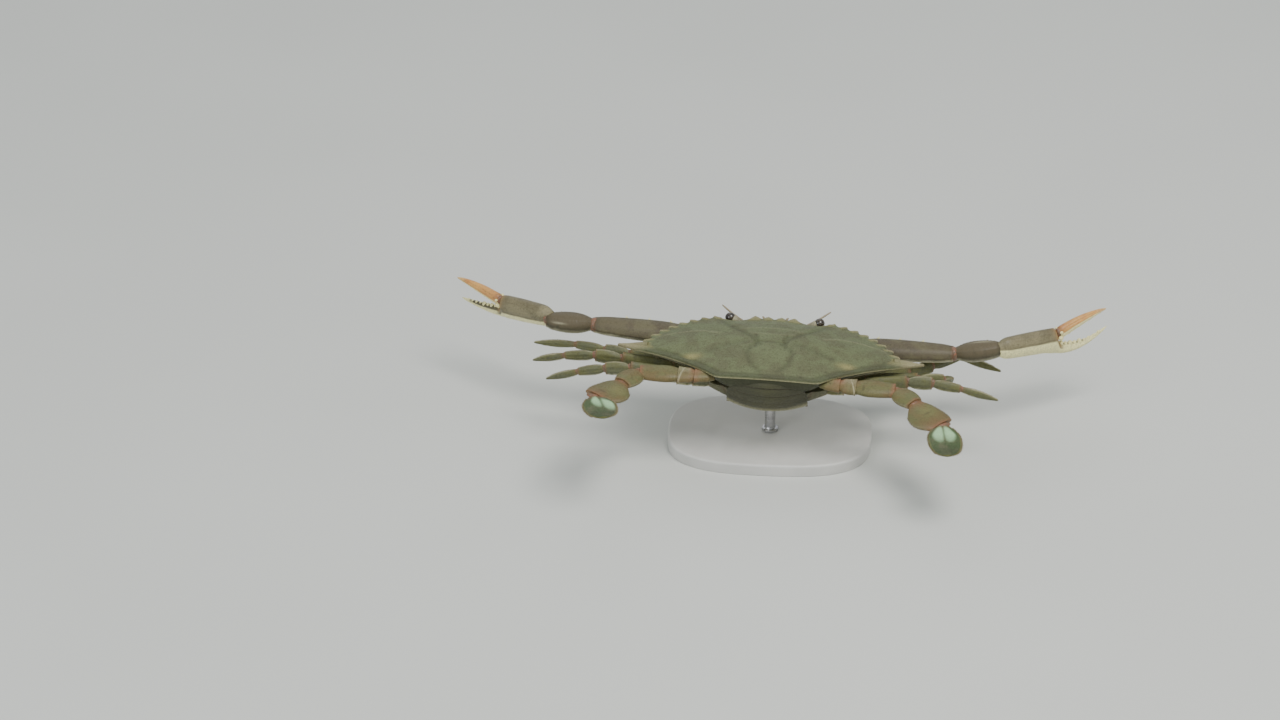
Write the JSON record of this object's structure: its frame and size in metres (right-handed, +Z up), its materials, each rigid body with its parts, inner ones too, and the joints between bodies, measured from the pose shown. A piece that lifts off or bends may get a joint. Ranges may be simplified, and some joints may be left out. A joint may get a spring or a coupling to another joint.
{
  "type": "blue crab",
  "caption": "Life-size blue crab swimming with its claws spread and its paddle legs out behind, on a low stand.",
  "frame": {"origin": "middle of the stand's underside, under the middle of the crab", "axes": "+X to the crab's left, -Y the way it faces, +Z up"},
  "size_m": [0.3257, 0.1487, 0.0582],
  "materials": {
    "shell": "wet olive shell",
    "underside": "ivory shell, satin",
    "claw": "wet brown shell",
    "finger": "wet orange shell",
    "leg": "wet olive shell",
    "paddle": "wet green shell",
    "eye": "glossy",
    "stand": "matte",
    "steel": "brushed"
  },
  "bodies": {
    "root": {"abdomen": "underside", "antenna_l": "claw", "antenna_r": "claw", "antennule_l": "claw", "antennule_r": "claw", "carapace": "shell", "claw_arm_l": "claw", "claw_arm_r": "claw", "claw_finger_l": "finger", "claw_finger_r": "finger", "claw_palm_l": "claw", "claw_palm_r": "claw", "claw_wrist_l": "claw", "claw_wrist_r": "claw", "epistome": "underside", "eye_l": "eye", "eye_r": "eye", "eyestalk_l": "claw", "eyestalk_r": "claw", "leg1_carpus_l": "leg", "leg1_carpus_r": "leg", "leg1_dactyl_l": "leg", "leg1_dactyl_r": "leg", "leg1_merus_l": "leg", "leg1_merus_r": "leg", "leg1_propodus_l": "leg", "leg1_propodus_r": "leg", "leg2_carpus_l": "leg", "leg2_carpus_r": "leg", "leg2_dactyl_l": "leg", "leg2_dactyl_r": "leg", "leg2_merus_l": "leg", "leg2_merus_r": "leg", "leg2_propodus_l": "leg", "leg2_propodus_r": "leg", "leg3_carpus_l": "leg", "leg3_carpus_r": "leg", "leg3_dactyl_l": "leg", "leg3_dactyl_r": "leg", "leg3_merus_l": "leg", "leg3_merus_r": "leg", "leg3_propodus_l": "leg", "leg3_propodus_r": "leg", "maxilliped_l": "underside", "maxilliped_r": "underside", "oar_carpus_l": "leg", "oar_carpus_r": "leg", "oar_merus_l": "leg", "oar_merus_r": "leg", "oar_paddle_l": "paddle", "oar_paddle_r": "paddle", "oar_propodus_l": "leg", "oar_propodus_r": "leg", "stand_base": "stand", "stand_rod": "steel", "thorax": "underside"}
  },
  "joints": []
}
